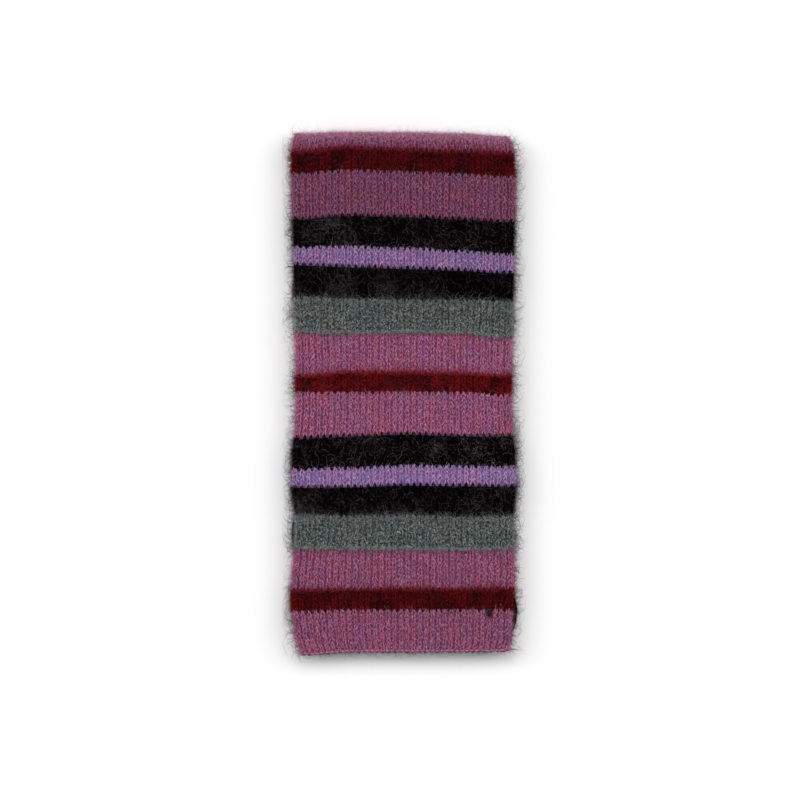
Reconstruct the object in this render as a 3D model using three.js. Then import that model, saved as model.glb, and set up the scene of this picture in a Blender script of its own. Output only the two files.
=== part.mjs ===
// A brushed rib-knit scarf, folded in half twice and laid flat.
// Millimetres, +Z up. The origin lies on the surface that carries the scarf, under the
// middle of the folded stack. +Y runs along the scarf to its far end.
//
// The cloth is one long strip in four layers. The top stretch starts at a cut end over
// the near end, runs to the far end and turns down round the two hidden layers. The
// under stretch carries on from there along the surface to the near end, where the near
// fold turns it up into the hidden layers.

import * as THREE from 'three';

// Cloth
const CLOTH = 3.6; // wall of the rib knit, from crown to crown
const GAP = 0.3; // air between one layer and the next
const RIBS = 34; // ribs across the outer face
const RIB_RELIEF = 0.7; // how far a groove lies below the crowns
const RIB_SHOULDER = 0.24; // share of a rib's breadth where its crown starts
const PLAIN_SPANS = 12; // spans across a plain face

// Folded stack
const LAYERS = 4;
const LAYER_STEP = CLOTH + GAP;
const STACK = (LAYERS - 1) * LAYER_STEP + CLOTH;
const HALF_LENGTH = 201.4; // from the middle to the near cut end and to the far fold
const FAR_LINE = HALF_LENGTH - STACK / 2; // where the layers start to turn at the far end
const NEAR_LINE = -195.2; // where the under stretch starts to turn at the near end
const INNER_END = -199; // cut end of the upper hidden layer
const LIP_SHARE = 0.95; // share of the gap between the hidden layers that closes at that end
const END_ROUND = 0.9; // how far the near cut end is rounded
const END_THIN = 0.55; // share of the wall that is left at the tip of that end
const FAR_PINCH = { left: 1.6, right: 2.6 }; // the far fold's corners draw in by this much
const NEAR_PINCH = { left: 2.6, right: 2.6 }; // and the near fold's
const FOLD_STEPS = 7; // spans round a half turn
const INNER_ROUND = [0, 30, 55, 75, 85]; // degrees round the hidden layers' far end

// Height of a layer's lower face, counted from the surface
const UNDER = 0;
const HIDDEN = LAYER_STEP;
const TOP = 3 * LAYER_STEP;

// Half widths of the top stretch, from the near end to the far line
const OUTLINE = [
  { y: -HALF_LENGTH, left: 80.9, right: 79.8 },
  { y: -197.5, left: 82.6, right: 82.1 },
  { y: -190.5, left: 84.5, right: 83.1 },
  { y: -175.8, left: 86.6, right: 83.1 },
  { y: -161.8, left: 88.3, right: 84.2 },
  { y: -142.4, left: 87.2, right: 85.7 },
  { y: -121.4, left: 85.2, right: 85.4 },
  { y: -107.5, left: 84.0, right: 84.6 },
  { y: -93.5, left: 84.7, right: 85.2 },
  { y: -82.6, left: 86.8, right: 86.4 },
  { y: -71.8, left: 87.8, right: 86.9 },
  { y: -46.9, left: 87.5, right: 86.3 },
  { y: -29.9, left: 84.7, right: 84.1 },
  { y: -6.6, left: 84.0, right: 83.3 },
  { y: 24.4, left: 84.0, right: 83.1 },
  { y: 43.1, left: 84.7, right: 83.7 },
  { y: 71.0, left: 85.2, right: 84.6 },
  { y: 103.6, left: 86.1, right: 85.4 },
  { y: 136.2, left: 86.8, right: 85.8 },
  { y: 164.1, left: 87.5, right: 86.0 },
  { y: 181.2, left: 87.6, right: 85.4 },
  { y: FAR_LINE, left: 86.6, right: 84.0 },
];

// The layers below lie a little inside that outline, but for these bulges
const TUCK = 1;
const BULGES = [
  { layer: 'upper', side: 'right', y: 53.5, reach: 24, out: 2.7 },
  { layer: 'upper', side: 'left', y: -108.6, reach: 26, out: 4.8 },
  { layer: 'lower', side: 'right', y: -173, reach: 27, out: 6.2 },
  { layer: 'under', side: 'right', y: -112.1, reach: 14, out: 3.5 },
];

// Soft swells of the top stretch: half length, half breadth and height of each
const SWELLS = [
  { x: -38, y: 118, along: 56, across: 42, rise: 0.8 },
  { x: 44, y: 34, along: 72, across: 36, rise: 0.6 },
  { x: -22, y: -66, along: 48, across: 54, rise: 0.9 },
  { x: 40, y: -142, along: 42, across: 38, rise: 0.7 },
];

// The far fold isn't quite square: how far it lies off its line, at places across
const FAR_SKEW = [
  { x: -80.5, dy: -0.8 },
  { x: -41.9, dy: 0.2 },
  { x: 0, dy: 0 },
  { x: 41.9, dy: -0.8 },
  { x: 80.5, dy: -3 },
];
const SKEW_FROM = 120;
const SKEW_FULL = 190;

// Rounded long edge of a wall: how far in from the outermost point, and the height
// there as a share of half the wall
const EDGE = [
  { inset: 0, rise: 0 },
  { inset: 0.35, rise: 0.55 },
  { inset: 1.3, rise: 0.9 },
];
const GROOVE = 3; // depth of the groove between the two hidden layers

// Value of a column in a table at a place, straight between the rows
function read(table, key, column, at) {
  const last = table.length - 1;
  if (at <= table[0][key]) return table[0][column];
  if (at >= table[last][key]) return table[last][column];
  const i = table.findIndex((row) => row[key] > at);
  const before = table[i - 1];
  const after = table[i];
  const share = (at - before[key]) / (after[key] - before[key]);
  return THREE.MathUtils.lerp(before[column], after[column], share);
}

// A smooth bump, 1 in the middle and 0 from distance 1 on
function bump(distance) {
  return distance < 1 ? Math.cos((distance * Math.PI) / 2) ** 2 : 0;
}

function swell(x, y) {
  let rise = 0;
  for (const s of SWELLS) {
    rise += s.rise * bump(Math.hypot((x - s.x) / s.across, (y - s.y) / s.along));
  }
  return rise;
}

function skewed(point) {
  const share = THREE.MathUtils.smoothstep(point.y, SKEW_FROM, SKEW_FULL);
  point.y += share * read(FAR_SKEW, 'x', 'dy', point.x);
  return point;
}

function topWidths(y) {
  return { left: read(OUTLINE, 'y', 'left', y), right: read(OUTLINE, 'y', 'right', y) };
}

function lowerWidths(y, layer) {
  const widths = topWidths(y);
  widths.left -= TUCK;
  widths.right -= TUCK;
  for (const b of BULGES.filter((row) => row.layer === layer)) {
    widths[b.side] += b.out * bump(Math.abs(y - b.y) / b.reach);
  }
  return widths;
}

// Places along the layers below the top stretch: the rows of the outline from the near
// end's straight part on, and the middle and flanks of each bulge
function lowerPlaces() {
  const rows = OUTLINE.slice(2, -1).map((row) => row.y);
  const bulges = BULGES.flatMap((b) => [b.y - b.reach / 2, b.y, b.y + b.reach / 2]);
  return [...rows, ...bulges].sort((a, b) => a - b);
}

function pinched(widths, pinch, share) {
  return { left: widths.left - pinch.left * share, right: widths.right - pinch.right * share };
}

// Section of a wall as points {x, h}, h counted from the middle of the wall towards its
// outer face, clockwise from the outermost point on the left
function wallSection(widths, ribbed, thin = 1) {
  const half = (CLOTH / 2) * thin;
  const inset = EDGE[EDGE.length - 1].inset;
  const from = inset - widths.left;
  const span = widths.left + widths.right - 2 * inset;
  const section = EDGE.map((e) => ({ x: e.inset - widths.left, h: e.rise * half }));
  if (ribbed) {
    const rib = span / RIBS;
    for (let k = 0; k < RIBS; k++) {
      section.push({ x: from + (k + RIB_SHOULDER) * rib, h: half });
      section.push({ x: from + (k + 1 - RIB_SHOULDER) * rib, h: half });
      if (k < RIBS - 1) section.push({ x: from + (k + 1) * rib, h: half - RIB_RELIEF * thin });
    }
  } else {
    for (let k = 1; k < PLAIN_SPANS; k++) {
      section.push({ x: from + (k * span) / PLAIN_SPANS, h: half });
    }
  }
  for (const e of EDGE.toReversed()) section.push({ x: widths.right - e.inset, h: e.rise * half });
  for (const e of EDGE.slice(1)) section.push({ x: widths.right - e.inset, h: -e.rise * half });
  for (let k = 1; k < PLAIN_SPANS; k++) {
    section.push({ x: from + (1 - k / PLAIN_SPANS) * span, h: -half });
  }
  for (const e of EDGE.slice(1).toReversed()) {
    section.push({ x: e.inset - widths.left, h: -e.rise * half });
  }
  return section;
}

// Ring of a flat stretch, whose outer face looks up, or down where facing is -1
function flatRing(y, low, widths, ribbed, facing, thin = 1) {
  const middle = low + CLOTH / 2;
  const section = wallSection(widths, ribbed, thin);
  return section.map((p) => skewed(new THREE.Vector3(p.x, y, middle + facing * p.h)));
}

// Ring in a fold, turned about an axis along X. The angle is that of the outer face's
// normal, 0 along +Y and 90 degrees up
function foldRing(axis, radius, angle, widths) {
  return wallSection(widths, true).map((p) => {
    const reach = radius + p.h;
    const y = axis.y + reach * Math.cos(angle);
    const z = axis.z + reach * Math.sin(angle);
    return skewed(new THREE.Vector3(p.x, y, z));
  });
}

// Closed solid through rings of equal length, with caps given as index triples
function solid(name, rings, caps, seat, material) {
  const count = rings[0].length;
  const positions = rings.flat().flatMap((p) => [p.x - seat.x, p.y - seat.y, p.z - seat.z]);
  const faces = [];
  for (let r = 0; r < rings.length - 1; r++) {
    for (let i = 0; i < count; i++) {
      const a = r * count + i;
      const b = r * count + ((i + 1) % count);
      faces.push([a, b, b + count], [a, b + count, a + count]);
    }
  }
  const end = (rings.length - 1) * count;
  for (const [a, b, c] of caps) {
    faces.push([a, c, b], [end + a, end + b, end + c]);
  }
  const geometry = new THREE.BufferGeometry();
  geometry.setAttribute('position', new THREE.Float32BufferAttribute(positions, 3));
  geometry.setIndex(outward(faces, positions).flat());
  geometry.computeVertexNormals();
  const mesh = new THREE.Mesh(geometry, material);
  mesh.name = name;
  mesh.position.copy(seat);
  return mesh;
}

// The faces, all turned if their signed volume is negative
function outward(faces, positions) {
  const point = (i) => new THREE.Vector3().fromArray(positions, 3 * i);
  let volume = 0;
  for (const [a, b, c] of faces) volume += point(a).dot(point(b).cross(point(c)));
  return volume > 0 ? faces : faces.map(([a, b, c]) => [a, c, b]);
}

// Triangles across a section from left to right, each in the order of its points, so
// that none reaches far along an end that isn't straight
function sectionCap(section) {
  const triples = [];
  const rightmost = section.reduce((best, p, i) => (p.x > section[best].x ? i : best), 0);
  let over = 0;
  let below = section.length - 1;
  while (below - over > 1) {
    const nextOver = over < rightmost ? section[over + 1].x : Infinity;
    const nextBelow = below > rightmost ? section[below - 1].x : Infinity;
    if (nextOver <= nextBelow) {
      triples.push([over, over + 1, below]);
      over += 1;
    } else {
      triples.push([over, below - 1, below]);
      below -= 1;
    }
  }
  return triples;
}

// Angles round a half turn, both ends included
function halfTurn(from, to) {
  const steps = [...Array(FOLD_STEPS + 1).keys()];
  return steps.map((i) => THREE.MathUtils.lerp(from, to, i / FOLD_STEPS));
}

// The uppermost layer with the far fold, which it wraps round the hidden layers
function topStretch(material) {
  const axis = { y: FAR_LINE, z: STACK / 2 };
  const rings = [];
  const tip = OUTLINE[0];
  rings.push(flatRing(tip.y, TOP, tip, true, 1, END_THIN));
  rings.push(flatRing(tip.y + END_ROUND, TOP, topWidths(tip.y + END_ROUND), true, 1));
  for (const row of OUTLINE.slice(1, -1)) rings.push(flatRing(row.y, TOP, row, true, 1));
  for (const ring of rings) {
    for (const p of ring) p.z += swell(p.x, p.y);
  }
  for (const angle of halfTurn(Math.PI / 2, -Math.PI / 2)) {
    const widths = pinched(topWidths(FAR_LINE), FAR_PINCH, Math.cos(angle));
    rings.push(foldRing(axis, (STACK - CLOTH) / 2, angle, widths));
  }
  const seat = new THREE.Vector3(0, 0, TOP);
  return solid('top_stretch', rings, sectionCap(wallSection(tip, true, END_THIN)), seat, material);
}

// The layer that lies on the surface, flat underneath
function underStretch(material) {
  const places = [NEAR_LINE, ...lowerPlaces(), FAR_LINE - GAP];
  const rings = places.map((y) => flatRing(y, UNDER, lowerWidths(y, 'under'), false, -1));
  const cap = sectionCap(wallSection(lowerWidths(NEAR_LINE, 'under'), false));
  return solid('under_stretch', rings, cap, new THREE.Vector3(0, 0, UNDER), material);
}

// The turn at the near end, from the under stretch up to the lower hidden layer
function nearFold(material) {
  const axis = { y: NEAR_LINE - GAP, z: CLOTH + GAP / 2 };
  const flat = lowerWidths(NEAR_LINE, 'under');
  const rings = halfTurn(-Math.PI / 2, (-3 * Math.PI) / 2).map((angle) => {
    const widths = pinched(flat, NEAR_PINCH, -Math.cos(angle));
    return foldRing(axis, LAYER_STEP / 2, angle, widths);
  });
  const cap = sectionCap(wallSection(flat, true));
  return solid('near_fold', rings, cap, new THREE.Vector3(0, axis.y, axis.z), material);
}

// One side of the hidden layers from the bottom up, as points {inset, h, layer}
function layeredSide() {
  const half = CLOTH / 2;
  const upwards = [...EDGE.slice(1).toReversed().map((e) => ({ ...e, rise: -e.rise })), ...EDGE];
  const edge = (layer, low) =>
    upwards.map((e) => ({ inset: e.inset, h: low + half * (1 + roundOff(e.rise)), layer }));
  return [
    ...edge('lower', 0),
    { inset: GROOVE, h: CLOTH, layer: 'lower' },
    { inset: GROOVE, h: LAYER_STEP, layer: 'upper' },
    ...edge('upper', LAYER_STEP),
  ];
}

// The faces of the hidden layers are plain, so their edges end at full height
function roundOff(rise) {
  return Math.abs(rise) === EDGE[EDGE.length - 1].rise ? Math.sign(rise) : rise;
}

// The two layers in the middle of the stack, as one solid with a groove down each side
function hiddenLayers(material) {
  const side = layeredSide();
  const middle = HIDDEN + LAYER_STEP - GAP / 2;
  const ring = (place, squash = 1) => {
    const at = (p, sign, key) => {
      const y = place(p.layer);
      const x = sign * (lowerWidths(y, p.layer)[key] - p.inset);
      return skewed(new THREE.Vector3(x, y, middle + (HIDDEN + p.h - middle) * squash));
    };
    const left = side.map((p) => at(p, -1, 'left'));
    const right = side.map((p) => at(p, 1, 'right'));
    return [...left, ...right.toReversed()];
  };
  const rings = [ring((layer) => (layer === 'upper' ? INNER_END : NEAR_LINE))];
  // At that end the groove's lower lip comes up to the underside of the upper layer
  const lip = side.findIndex((p) => p.layer === 'upper') - 1;
  rings[0][lip].z += GAP * LIP_SHARE;
  rings[0][rings[0].length - 1 - lip].z += GAP * LIP_SHARE;
  for (const y of lowerPlaces()) rings.push(ring(() => y));
  const radius = (2 * CLOTH + GAP) / 2;
  for (const degrees of INNER_ROUND) {
    const angle = THREE.MathUtils.degToRad(degrees);
    rings.push(ring(() => FAR_LINE + radius * Math.sin(angle), Math.cos(angle)));
  }
  const caps = [];
  for (let i = 0; i < side.length - 1; i++) {
    const j = 2 * side.length - 1 - i;
    caps.push([i, i + 1, j - 1], [i, j - 1, j]);
  }
  return solid('hidden_layers', rings, caps, new THREE.Vector3(0, 0, HIDDEN), material);
}

// Mean shade of the stripes that show on each node
const SHADES = { top: 0x7f4869, under: 0x494e4c, near: 0x85608f, hidden: 0x1a1418 };

function yarn(color) {
  return new THREE.MeshStandardMaterial({ color, roughness: 0.95, metalness: 0 });
}

const scarf = new THREE.Group();
scarf.name = 'folded_scarf';
scarf.add(topStretch(yarn(SHADES.top)));
scarf.add(underStretch(yarn(SHADES.under)));
scarf.add(nearFold(yarn(SHADES.near)));
scarf.add(hiddenLayers(yarn(SHADES.hidden)));

export default scarf;
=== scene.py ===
"""A striped, brushed rib-knit scarf, folded in half twice and laid flat on a pale ground.

The scarf is one strip in four layers. Its path through the folds is worked out first, as a
map from the knit (a place across and a course along) to the stack, and the yarn loops, the
selvedges, the cloth between them and the halo of fibres are all laid on that map.
Lengths are in millimetres until a mesh is made, and metres from there on.
"""

import logging
import math
from dataclasses import dataclass, field
from enum import Enum

import bpy
import numpy as np
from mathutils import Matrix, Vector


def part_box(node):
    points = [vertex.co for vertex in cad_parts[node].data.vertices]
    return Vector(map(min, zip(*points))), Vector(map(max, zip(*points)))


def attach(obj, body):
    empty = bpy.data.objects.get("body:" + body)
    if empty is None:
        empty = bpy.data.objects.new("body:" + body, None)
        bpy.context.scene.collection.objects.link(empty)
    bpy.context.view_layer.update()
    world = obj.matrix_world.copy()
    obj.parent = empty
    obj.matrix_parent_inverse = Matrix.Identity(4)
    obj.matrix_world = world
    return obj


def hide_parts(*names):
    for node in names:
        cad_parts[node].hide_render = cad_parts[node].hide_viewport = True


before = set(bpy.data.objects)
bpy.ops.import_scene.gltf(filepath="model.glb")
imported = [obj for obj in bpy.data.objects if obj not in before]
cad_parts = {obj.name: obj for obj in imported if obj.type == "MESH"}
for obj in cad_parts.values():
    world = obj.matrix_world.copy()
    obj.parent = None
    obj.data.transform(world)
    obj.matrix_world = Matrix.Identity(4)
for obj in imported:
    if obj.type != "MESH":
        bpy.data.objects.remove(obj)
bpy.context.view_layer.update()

MM = 0.001
BODY = "root"
HALF_BREADTH = 85.0  # of the knit, where a place across is turned into a share
COURSE = 3.475  # the usual length of a course along the scarf
# The lift sets the yarn's painted shade: darker the deeper a point lies, lighter on the upper side of
# each yarn. On loose fibres it holds their tone, between a painted shaded colour and a pale one.
LIFT = "lift"  # how far out of the cloth a point of the yarn lies, 0 to 1
DYE = "dye"  # how strongly a stripe took its dye, about 1
LOG = logging.getLogger("scarf")
Array = np.ndarray
Dice = np.random.Generator
Material = bpy.types.Material
Mesh = bpy.types.Mesh
Piece = bpy.types.Object
Socket = bpy.types.NodeSocket
Tree = bpy.types.NodeTree


class Yarn(Enum):
    """The five dyed shades of the scarf's yarn."""

    MAUVE = "mauve"
    WINE = "wine"
    BLACK = "black"
    LAVENDER = "lavender"
    GREY = "grey"


class Stretch(Enum):
    """The layers of the folded scarf, from its near cut end along the strip."""

    TOP = "top"
    UNDER = "under"
    LOWER = "lower"
    UPPER = "upper"


# Stripes of one repeat, counted in courses from the near cut end
REPEAT = [
    (Yarn.MAUVE, 9),
    (Yarn.WINE, 5),
    (Yarn.MAUVE, 9),
    (Yarn.GREY, 8),
    (Yarn.BLACK, 7),
    (Yarn.LAVENDER, 4),
    (Yarn.BLACK, 7),
]
REPEAT_COURSES = sum(courses for _, courses in REPEAT)


@dataclass(frozen=True)
class DyeLot:
    """Courses whose yarn is a little lighter or darker than its shade."""

    first: int
    last: int
    strength: float


DYE_LOTS = [
    DyeLot(0, 9, 0.97),
    DyeLot(9, 14, 0.78),
    DyeLot(23, 31, 1.04),
    DyeLot(31, 38, 0.86),
    DyeLot(42, 49, 1.25),
    DyeLot(49, 58, 1.1),
    DyeLot(58, 63, 1.16),
    DyeLot(63, 72, 1.1),
    DyeLot(72, 80, 1.04),
    DyeLot(80, 87, 0.72),
    DyeLot(87, 91, 0.92),
    DyeLot(98, 107, 0.71),
    DyeLot(107, 112, 0.8),
    DyeLot(112, 121, 0.88),
]


@dataclass(frozen=True)
class StripeEdge:
    """Where the top stretch changes yarn: its course, its place along the scarf's middle,
    and how far it lies off that place at four stations across."""

    course: float
    middle: float
    left: float
    inner_left: float
    inner_right: float
    right: float


STRIPE_EDGES = [
    StripeEdge(0, -201.4, -2.4, 0.0, 0.0, 0.5),
    StripeEdge(9, -169.6, -1.4, 0.0, 0.0, 0.0),
    StripeEdge(14, -152.9, -1.2, -0.4, -0.2, 0.4),
    StripeEdge(23, -122.2, 0.4, 0.0, -0.6, 0.4),
    StripeEdge(31, -96.5, 0.6, -0.8, -1.4, -0.2),
    StripeEdge(38, -71.6, -1.9, -1.6, -0.5, -1.1),
    StripeEdge(42, -57.7, -2.9, -1.7, -0.3, -0.9),
    StripeEdge(49, -31.9, -3.4, -1.6, -1.5, -1.5),
    StripeEdge(58, -0.2, -0.5, -0.5, -0.4, -2.9),
    StripeEdge(63, 15.4, -3.3, 0.2, -0.9, -2.6),
    StripeEdge(72, 46.1, 0.3, -0.9, -0.7, -3.8),
    StripeEdge(80, 70.8, 2.3, 0.5, -0.6, -1.4),
    StripeEdge(87, 96.7, 2.8, 1.2, -1.6, -4.0),
    StripeEdge(91, 111.4, 0.5, 1.2, -2.3, -5.0),
    StripeEdge(98, 136.7, -2.1, 0.9, -1.8, -4.0),
    StripeEdge(107, 170.7, -1.6, 1.0, -1.9, -4.3),
    StripeEdge(112, 188.3, -1.7, 1.8, -1.3, -2.7),
    StripeEdge(113.4, 193.75, -0.8, 0.2, -0.8, -3.0),
]
STATIONS = [-0.955, -0.5, 0.0, 0.5, 0.955]  # of left to right, as shares of the half width


@dataclass(frozen=True)
class Breadth:
    """Half widths of the top stretch at a place along it."""

    y: float
    left: float
    right: float


OUTLINE = [
    Breadth(-201.4, 80.9, 79.8),
    Breadth(-197.5, 82.6, 82.1),
    Breadth(-190.5, 84.5, 83.1),
    Breadth(-175.8, 86.6, 83.1),
    Breadth(-161.8, 88.3, 84.2),
    Breadth(-142.4, 87.2, 85.7),
    Breadth(-121.4, 85.2, 85.4),
    Breadth(-107.5, 84.0, 84.6),
    Breadth(-93.5, 84.7, 85.2),
    Breadth(-82.6, 86.8, 86.4),
    Breadth(-71.8, 87.8, 86.9),
    Breadth(-46.9, 87.5, 86.3),
    Breadth(-29.9, 84.7, 84.1),
    Breadth(-6.6, 84.0, 83.3),
    Breadth(24.4, 84.0, 83.1),
    Breadth(43.1, 84.7, 83.7),
    Breadth(71.0, 85.2, 84.6),
    Breadth(103.6, 86.1, 85.4),
    Breadth(136.2, 86.8, 85.8),
    Breadth(164.1, 87.5, 86.0),
    Breadth(181.2, 87.6, 85.4),
    Breadth(193.75, 86.6, 84.0),
]


@dataclass(frozen=True)
class Bulge:
    """A place where a lower layer's edge stands out past the others."""

    stretch: Stretch
    side: int
    y: float
    reach: float
    out: float


BULGES = [
    Bulge(Stretch.UNDER, -1, 76.0, 28.0, 3.4),
    Bulge(Stretch.UPPER, 1, 53.5, 24.0, 2.7),
    Bulge(Stretch.UPPER, -1, -108.6, 26.0, 4.8),
    Bulge(Stretch.LOWER, 1, -173.0, 27.0, 6.2),
    Bulge(Stretch.UNDER, 1, -112.1, 14.0, 3.5),
]


@dataclass(frozen=True)
class Swell:
    """A soft swell of the top stretch, with its half breadth, half length and height."""

    x: float
    y: float
    across: float
    along: float
    rise: float


SWELLS = [
    Swell(-38.0, 118.0, 42.0, 56.0, 0.8),
    Swell(44.0, 34.0, 36.0, 72.0, 0.6),
    Swell(-22.0, -66.0, 54.0, 48.0, 0.9),
    Swell(40.0, -142.0, 38.0, 42.0, 0.7),
]


def linear(code: int) -> tuple[float, float, float, float]:
    """Turns an sRGB hex colour to linear.

    Args:
        code: The colour as 0xRRGGBB.

    Returns:
        The linear red, green, blue and an alpha of 1.
    """
    shares = [((code >> shift) & 255) / 255 for shift in (16, 8, 0)]
    dark, slope, foot, scale, power = 0.04045, 12.92, 0.055, 1.055, 2.4
    turned = [s / slope if s <= dark else ((s + foot) / scale) ** power for s in shares]
    return (*turned, 1.0)


def add_node(
    tree: Tree, kind: str, settings: dict | None = None, inputs: dict | None = None
) -> bpy.types.Node:
    """Adds a node with its settings, its socket values and its links.

    Args:
        tree: The material's node tree.
        kind: The node's type.
        settings: Values of the node's own properties.
        inputs: Sockets by name or index, each with a value or a socket to link from.

    Returns:
        The new node.
    """
    node = tree.nodes.new(kind)
    for name, value in (settings or {}).items():
        setattr(node, name, value)
    for key, value in (inputs or {}).items():
        if isinstance(value, Socket):
            tree.links.new(value, node.inputs[key])
        else:
            node.inputs[key].default_value = value
    return node


def attribute(tree: Tree, name: str) -> Socket:
    """A mesh attribute's value."""
    return add_node(tree, "ShaderNodeAttribute", {"attribute_name": name}).outputs["Fac"]


def mapped(tree: Tree, place: Socket, scale: tuple[float, float, float], turn: float = 0.0) -> Socket:
    """A place that is scaled along each axis and turned about z, in radians."""
    inputs = {"Vector": place, "Rotation": (0.0, 0.0, turn), "Scale": scale}
    return add_node(tree, "ShaderNodeMapping", inputs=inputs).outputs[0]


def noise(tree: Tree, place: Socket, size: float, detail: float) -> Socket:
    """A noise whose patches are about so wide, with so many finer octaves."""
    inputs = {"Vector": place, "Scale": 1 / size, "Detail": detail}
    return add_node(tree, "ShaderNodeTexNoise", inputs=inputs).outputs[0]


def mixed(tree: Tree, share: object, first: object, second: object, blend: str = "MIX") -> Socket:
    """A mix of two colours, with the second colour's share and a way to blend them."""
    settings = {"data_type": "RGBA", "blend_type": blend}
    return add_node(tree, "ShaderNodeMix", settings, {0: share, 6: first, 7: second}).outputs[2]


def ramp(tree: Tree, value: Socket, span: tuple[float, float], first: int, second: int) -> Socket:
    """Turns a value into a colour between two.

    Args:
        tree: The node tree.
        value: The value's socket.
        span: Where the first colour ends and the second starts.
        first: The first colour in hex.
        second: The second colour in hex.

    Returns:
        The colour's socket.
    """
    node = add_node(tree, "ShaderNodeValToRGB", inputs={0: value})
    for stop, position, code in zip(node.color_ramp.elements, span, (first, second)):
        stop.position = position
        stop.color = linear(code)
    return node.outputs[0]


def smooth_read(places: Array, values: Array, at: Array) -> Array:
    """Reads a table through a smooth curve that doesn't overshoot between its rows.

    Args:
        places: The rows' places, rising.
        values: The rows' values.
        at: Where to read it.

    Returns:
        The values there, those of the end rows beyond them.
    """
    step = np.diff(places)
    slope = np.diff(values) / step
    same_way = slope[:-1] * slope[1:] > 0
    total = slope[:-1] + slope[1:]
    inner = np.where(same_way, 2 * slope[:-1] * slope[1:] / np.where(same_way, total, 1), 0)
    lean = np.concatenate([[slope[0]], inner, [slope[-1]]])
    at = np.clip(at, places[0], places[-1])
    i = np.clip(np.searchsorted(places, at, side="right") - 1, 0, len(step) - 1)
    t = (at - places[i]) / step[i]
    ahead = t * t * (3 - 2 * t)
    bend = lean[i] * t * (1 - t) ** 2 - lean[i + 1] * t * t * (1 - t)
    return values[i] * (1 - ahead) + values[i + 1] * ahead + bend * step[i]


def bump(distance: Array) -> Array:
    """A smooth bump, 1 in the middle and 0 from distance 1 on."""
    return np.cos(np.clip(distance, 0, 1) * math.pi / 2) ** 2


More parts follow.
